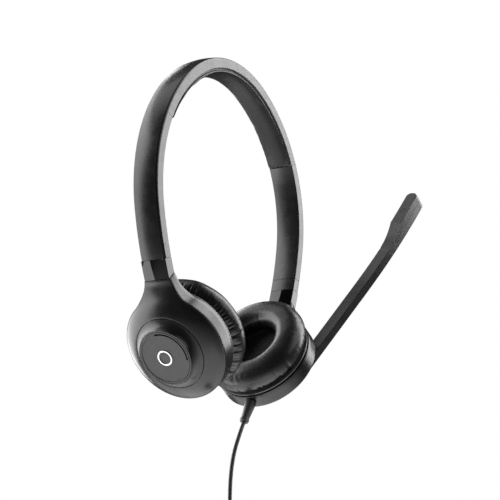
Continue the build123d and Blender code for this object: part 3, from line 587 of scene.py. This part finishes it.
def make_crown_pad():
    """Foam strip in leatherette under the crown, rounded off at its ends."""
    stations, count = 190, 32
    section = pad_section(count)
    points = []
    for i in range(stations):
        s = -PAD_END + 2 * PAD_END * i / (stations - 1)
        origin, outward, _ = band_place(s)
        from_end = min(PAD_END - abs(s), PAD_END_ROUND) / PAD_END_ROUND
        taper = 0.06 + math.sqrt(max(1 - (1 - from_end) ** 2, 0.0)) * (0.94 - 0.72 * (abs(s) / PAD_END) ** 3)
        for across, depth in section:
            narrow = 0.97 + 0.03 * from_end
            place_at = origin - outward * (PAD_BASE_INSET + depth * taper)
            points.append(place_at + np.array([0, across * narrow, 0]))
    faces = grid_faces(stations, count, False, True)
    faces.append(tuple(range(count - 1, -1, -1)))
    faces.append(tuple((stations - 1) * count + i for i in range(count)))
    pad = new_object("crown_cushion", np.array(points) * MM, faces)
    base = [i for i in range(len(points)) if section[i % count][1] < 0.9]
    base += list(range(count)) + list(range((stations - 1) * count, stations * count))
    inflate(pad, sorted(set(base)), 2.0, 0.35)
    subdivide(pad)
    co = read_points(pad.data)
    normals = read_normals(pad.data)
    ripple = np.array([noise.noise(Vector((p[0] * 260, p[1] * 60, p[2] * 260))) for p in co])
    write_points(pad.data, co - normals * (0.09 * ripple)[:, None] * MM)
    place(pad, "headband", "pad_leatherette", "crown_pad")
    return pad


# ---------------------------------------------------------------- badge
def make_badge(side, body):
    """A plain raised ring in the middle of a cap."""
    inner, outer, low, high = 3.5, 4.4, 11.40, 11.72
    edge = 0.12
    section = [
        (inner, low), (inner, high - edge), (inner + edge, high),
        (outer - edge, high), (outer, high - edge), (outer, low),
    ]
    around = 72
    points = turned(section, around)
    faces = grid_faces(around, len(section), True, True, flip=side < 0)
    badge = new_object(f"badge_ring_{'left' if side > 0 else 'right'}", cup_points(points, side), faces, 30)
    return place(badge, body, "capsule_metal")


# ---------------------------------------------------------------- materials
def shader(name, color, roughness, metallic=0.0, **sockets):
    material = bpy.data.materials.new(name)
    material.use_nodes = True
    tree = material.node_tree
    surface = tree.nodes["Principled BSDF"]
    surface.inputs["Base Color"].default_value = (*color, 1)
    surface.inputs["Roughness"].default_value = roughness
    surface.inputs["Metallic"].default_value = metallic
    for socket, value in sockets.items():
        surface.inputs[socket.replace("_", " ")].default_value = value
    return material, tree, surface


def coordinates(tree, scale=(1, 1, 1)):
    source = tree.nodes.new("ShaderNodeTexCoord")
    mapping = tree.nodes.new("ShaderNodeMapping")
    mapping.inputs["Scale"].default_value = scale
    tree.links.new(source.outputs["Object"], mapping.inputs["Vector"])
    return mapping.outputs["Vector"]


def noise_node(tree, vector, scale, detail=2.0):
    node = tree.nodes.new("ShaderNodeTexNoise")
    node.inputs["Scale"].default_value = scale
    node.inputs["Detail"].default_value = detail
    tree.links.new(vector, node.inputs["Vector"])
    return node.outputs["Fac"]


def spread(tree, value, low, high, to_low, to_high):
    node = tree.nodes.new("ShaderNodeMapRange")
    node.inputs["From Min"].default_value = low
    node.inputs["From Max"].default_value = high
    node.inputs["To Min"].default_value = to_low
    node.inputs["To Max"].default_value = to_high
    tree.links.new(value, node.inputs["Value"])
    return node.outputs["Result"]


def bump(tree, surface, height, distance_mm, strength=1.0, after=None):
    node = tree.nodes.new("ShaderNodeBump")
    node.inputs["Strength"].default_value = strength
    node.inputs["Distance"].default_value = distance_mm * MM
    tree.links.new(height, node.inputs["Height"])
    if after is not None:
        tree.links.new(after, node.inputs["Normal"])
    tree.links.new(node.outputs["Normal"], surface.inputs["Normal"])
    return node.outputs["Normal"]


def tint(tree, surface, value, dark, light):
    ramp = tree.nodes.new("ShaderNodeValToRGB")
    ramp.color_ramp.elements[0].position = 0.3
    ramp.color_ramp.elements[0].color = (*dark, 1)
    ramp.color_ramp.elements[1].position = 0.7
    ramp.color_ramp.elements[1].color = (*light, 1)
    tree.links.new(value, ramp.inputs["Fac"])
    tree.links.new(ramp.outputs["Color"], surface.inputs["Base Color"])


def moulded(name, color, roughness, grain_mm=0.22, depth_mm=0.004, **sockets):
    """Moulded plastic: a fine spark-eroded grain, with small changes of colour and sheen."""
    material, tree, surface = shader(name, color, roughness, **sockets)
    vector = coordinates(tree)
    cloudy = noise_node(tree, vector, 55, 3)
    tint(tree, surface, cloudy, [c * 0.9 for c in color], [c * 1.1 for c in color])
    changing = spread(tree, noise_node(tree, vector, 160, 4), 0.3, 0.7, roughness - 0.035, roughness + 0.035)
    tree.links.new(changing, surface.inputs["Roughness"])
    bump(tree, surface, noise_node(tree, vector, 1 / (grain_mm * MM), 2), depth_mm)
    return material


def two_tone_boom(name, color, tip_color, roughness):
    """The arm's moulding, sprayed in the microphone head's lighter grey past the head's foot."""
    material = moulded(name, color, roughness, depth_mm=0.002)
    tree = material.node_tree
    surface = tree.nodes["Principled BSDF"]
    along = tree.nodes.new("ShaderNodeVectorMath")
    along.operation = "DOT_PRODUCT"
    tree.links.new(coordinates(tree), along.inputs[0])
    along.inputs[1].default_value = BOOM_ALONG
    foot = BOOM_ALONG.dot(CUP_CENTRE) + HEAD_FOOT * MM
    beyond = spread(tree, along.outputs["Value"], foot - 0.00005, foot + 0.00005, 0, 1)
    mix = tree.nodes.new("ShaderNodeMix")
    mix.data_type = "RGBA"
    shade = surface.inputs["Base Color"].links[0].from_socket
    tree.links.new(beyond, mix.inputs["Factor"])
    tree.links.new(shade, mix.inputs[6])
    mix.inputs[7].default_value = (*tip_color, 1)
    tree.links.new(mix.outputs[2], surface.inputs["Base Color"])
    return material


def leatherette(name, color, roughness, grain_mm=0.9, **sockets):
    """Soft coated cloth: rounded cells of grain and fine pores."""
    material, tree, surface = shader(name, color, roughness, **sockets)
    vector = coordinates(tree)
    wavering = tree.nodes.new("ShaderNodeVectorMath")
    wavering.operation = "ADD"
    drift = tree.nodes.new("ShaderNodeTexNoise")
    drift.inputs["Scale"].default_value = 900
    tree.links.new(vector, drift.inputs["Vector"])
    small = tree.nodes.new("ShaderNodeVectorMath")
    small.operation = "SCALE"
    small.inputs["Scale"].default_value = 0.0006
    tree.links.new(drift.outputs["Color"], small.inputs[0])
    tree.links.new(vector, wavering.inputs[0])
    tree.links.new(small.outputs["Vector"], wavering.inputs[1])
    cells = tree.nodes.new("ShaderNodeTexVoronoi")
    cells.feature = "DISTANCE_TO_EDGE"
    cells.inputs["Scale"].default_value = 1 / (grain_mm * MM)
    tree.links.new(wavering.outputs["Vector"], cells.inputs["Vector"])
    rounded = spread(tree, cells.outputs["Distance"], 0.0, 0.22, 0.0, 1.0)
    tint(tree, surface, noise_node(tree, vector, 70, 4), [c * 0.85 for c in color], [c * 1.15 for c in color])
    changing = spread(tree, rounded, 0, 1, roughness + 0.12, roughness)
    tree.links.new(changing, surface.inputs["Roughness"])
    first = bump(tree, surface, rounded, 0.012, 0.6)
    bump(tree, surface, noise_node(tree, vector, 6000, 2), 0.003, 0.6, first)
    return material


def rubber(name, color, roughness):
    material, tree, surface = shader(name, color, roughness, Specular_IOR_Level=0.42)
    vector = coordinates(tree)
    cloudy = noise_node(tree, vector, 120, 4)
    tint(tree, surface, cloudy, [c * 0.85 for c in color], [c * 1.15 for c in color])
    changing = spread(tree, noise_node(tree, vector, 400, 3), 0.3, 0.7, roughness - 0.05, roughness + 0.05)
    tree.links.new(changing, surface.inputs["Roughness"])
    bump(tree, surface, noise_node(tree, vector, 2600, 3), 0.006)
    return material


def gloss(name, color):
    """Polished plastic: a clear deep gloss with the faintest waviness of the moulding."""
    material, tree, surface = shader(name, color, 0.04, Specular_IOR_Level=0.4)
    vector = coordinates(tree)
    tint(tree, surface, noise_node(tree, vector, 90, 2), [c * 0.8 for c in color], [c * 1.2 for c in color])
    changing = spread(tree, noise_node(tree, vector, 900, 4), 0.35, 0.75, 0.03, 0.07)
    tree.links.new(changing, surface.inputs["Roughness"])
    bump(tree, surface, noise_node(tree, vector, 140, 1), 0.004, 0.3)
    return material


def metal(name, color, roughness, brushed=(1, 1, 1)):
    """Metal with fine scratches, drawn out along one direction where it is ground or drawn."""
    material, tree, surface = shader(name, color, roughness, metallic=1.0)
    vector = coordinates(tree, brushed)
    scratches = noise_node(tree, vector, 2400, 5)
    tint(tree, surface, noise_node(tree, vector, 260, 3), [c * 0.88 for c in color], color)
    changing = spread(tree, scratches, 0.3, 0.7, roughness - 0.08, roughness + 0.1)
    tree.links.new(changing, surface.inputs["Roughness"])
    bump(tree, surface, scratches, 0.002, 0.5)
    return material


def woven(name, color, thread_mm, roughness=0.85):
    """Plain woven cloth from two crossed sets of threads."""
    material, tree, surface = shader(name, color, roughness, Sheen_Weight=0.25, Sheen_Roughness=0.5)
    vector = coordinates(tree)
    waves = []
    for direction in ("X", "Y", "Z"):
        wave = tree.nodes.new("ShaderNodeTexWave")
        wave.bands_direction = direction
        wave.inputs["Scale"].default_value = 0.32 / (thread_mm * MM)
        wave.inputs["Distortion"].default_value = 0.6
        wave.inputs["Detail Scale"].default_value = 3.0
        tree.links.new(vector, wave.inputs["Vector"])
        waves.append(wave.outputs["Fac"])
    highest = waves[0]
    for other in waves[1:]:
        larger = tree.nodes.new("ShaderNodeMath")
        larger.operation = "MAXIMUM"
        tree.links.new(highest, larger.inputs[0])
        tree.links.new(other, larger.inputs[1])
        highest = larger.outputs["Value"]
    tint(tree, surface, highest, [c * 0.5 for c in color], [c * 1.5 for c in color])
    bump(tree, surface, highest, 0.08)
    return material


def make_materials():
    return {
        "shell_black": moulded("shell_black", (0.006, 0.006, 0.0065), 0.27),
        "frame_graphite": moulded("frame_graphite", (0.085, 0.085, 0.088), 0.36),
        "arm_cover_black": moulded("arm_cover_black", (0.008, 0.008, 0.0085), 0.27),
        "collar_gloss": gloss("collar_gloss", (0.0015, 0.0015, 0.0016)),
        "ring_satin": moulded("ring_satin", (0.008, 0.008, 0.0085), 0.30, depth_mm=0.002),
        "cap_grey": moulded("cap_grey", (0.034, 0.034, 0.035), 0.55, grain_mm=0.16, depth_mm=0.006),
        "baffle_grey": moulded("baffle_grey", (0.055, 0.055, 0.057), 0.42),
        "inner_black": moulded("inner_black", (0.018, 0.018, 0.019), 0.5),
        "boom_black": two_tone_boom("boom_black", (0.010, 0.010, 0.0105), (0.030, 0.030, 0.031), 0.30),
        "mic_graphite": moulded(
            "mic_graphite", (0.040, 0.040, 0.041), 0.29, depth_mm=0.002, Specular_IOR_Level=0.35),
        "insulator_black": moulded("insulator_black", (0.02, 0.02, 0.02), 0.4),
        "washer_white": moulded("washer_white", (0.78, 0.78, 0.76), 0.45),
        "board_green": moulded("board_green", (0.02, 0.12, 0.05), 0.35),
        "diaphragm_film": moulded("diaphragm_film", (0.55, 0.55, 0.5), 0.25, Transmission_Weight=0.2),
        "pad_leatherette": leatherette(
            "pad_leatherette", (0.004, 0.004, 0.0045), 0.32, Specular_IOR_Level=0.28),
        "cushion_leatherette": leatherette("cushion_leatherette", (0.008, 0.008, 0.0085), 0.27),
        "rubber_black": rubber("rubber_black", (0.045, 0.045, 0.046), 0.38),
        "cord_black": rubber("cord_black", (0.022, 0.022, 0.023), 0.38),
        "plug_rubber": rubber("plug_rubber", (0.024, 0.024, 0.025), 0.45),
        "wire_black": rubber("wire_black", (0.02, 0.02, 0.02), 0.4),
        "spring_steel": metal("spring_steel", (0.56, 0.56, 0.57), 0.3, (1, 12, 1)),
        "screw_steel": metal("screw_steel", (0.46, 0.46, 0.47), 0.32),
        "driver_metal": metal("driver_metal", (0.36, 0.36, 0.37), 0.38),
        "magnet_metal": metal("magnet_metal", (0.5, 0.5, 0.5), 0.25),
        "capsule_metal": metal("capsule_metal", (0.66, 0.66, 0.66), 0.3),
        "contact_gold": metal("contact_gold", (0.83, 0.62, 0.28), 0.22),
        "grille_cloth": woven("grille_cloth", (0.014, 0.014, 0.0145), 0.35),
        "tie_fabric": woven("tie_fabric", (0.02, 0.02, 0.021), 0.4),
    }


def dress_cad_nodes():
    for part in frame["record"]["subparts"]:
        mesh = frame["nodes"][part["node"]].data
        mesh.materials.clear()
        mesh.materials.append(MATERIALS[part["material_slot"]])


# ---------------------------------------------------------------- studio
def area_light(name, towards, distance, size, radiance):
    """A rectangular softbox that faces the headset from a direction, lit to a given radiance."""
    data = bpy.data.lights.new(name, "AREA")
    data.shape = "RECTANGLE"
    data.size, data.size_y = size
    data.energy = radiance * math.pi * size[0] * size[1]
    light = bpy.data.objects.new(name, data)
    bpy.context.scene.collection.objects.link(light)
    direction = Vector(towards).normalized()
    light.location = STUDIO_CENTRE + direction * distance
    light.rotation_mode = "QUATERNION"
    light.rotation_quaternion = direction.to_track_quat("Z", "Y")
    light.visible_camera = False
    return light


def make_studio():
    world = bpy.data.worlds.new("studio")
    bpy.context.scene.world = world
    world.use_nodes = True
    nodes, links = world.node_tree.nodes, world.node_tree.links
    fill = nodes["Background"]
    fill.inputs["Color"].default_value = (1, 1, 1, 1)
    fill.inputs["Strength"].default_value = 0.05
    seen = nodes.new("ShaderNodeBackground")
    seen.inputs["Color"].default_value = (1, 1, 1, 1)
    seen.inputs["Strength"].default_value = 1.0
    path = nodes.new("ShaderNodeLightPath")
    mix = nodes.new("ShaderNodeMixShader")
    links.new(path.outputs["Is Camera Ray"], mix.inputs["Fac"])
    links.new(fill.outputs["Background"], mix.inputs[1])
    links.new(seen.outputs["Background"], mix.inputs[2])
    links.new(mix.outputs["Shader"], nodes["World Output"].inputs["Surface"])
    area_light("softbox_right", (0.688, -0.455, 0.565), 2.0, (1.2, 2.7), 6.0)
    area_light("softbox_front", (0.14, -0.80, 0.58), 2.0, (1.7, 1.7), 1.5)
    area_light("softbox_rear", (-0.06, 0.96, 0.26), 2.0, (3.9, 2.8), 4.0)
    area_light("softbox_top", (-0.1, 0.35, 0.93), 2.0, (1.1, 1.1), 1.2)
    area_light("card_low", (-0.52, 0.68, -0.50), 2.0, (0.8, 0.9), 4.5)
    area_light("light_table", (0, 0, -1), 0.9, (1.4, 1.4), 0.95)
    low = cad_box[0][2] - FLOOR_DROP
    half = FLOOR_HALF
    corners = [(-half, -half, low), (half, -half, low), (half, half, low), (-half, half, low)]
    floor = new_object("floor", corners, [(0, 1, 2, 3)])
    material, tree, surface = shader("floor_pale", (0.78, 0.78, 0.78), 0.8)
    tint(tree, surface, noise_node(tree, coordinates(tree), 3, 2), (0.77, 0.77, 0.77), (0.79, 0.79, 0.79))
    floor.data.materials.append(material)
    bpy.context.scene.view_settings.view_transform = "Standard"


# ---------------------------------------------------------------- assembly
make_camera()
MATERIALS = make_materials()
cord = make_cord()
strap = make_tie()
dress_cad_nodes()
for cup_side, cup_name in ((1, "left"), (-1, "right")):
    make_housing(cup_side, cup_name)
    make_cushion(cup_side, cup_name)
make_crown_pad()
make_badge(1, "mic_boom")
make_badge(-1, "cup_right")
make_studio()
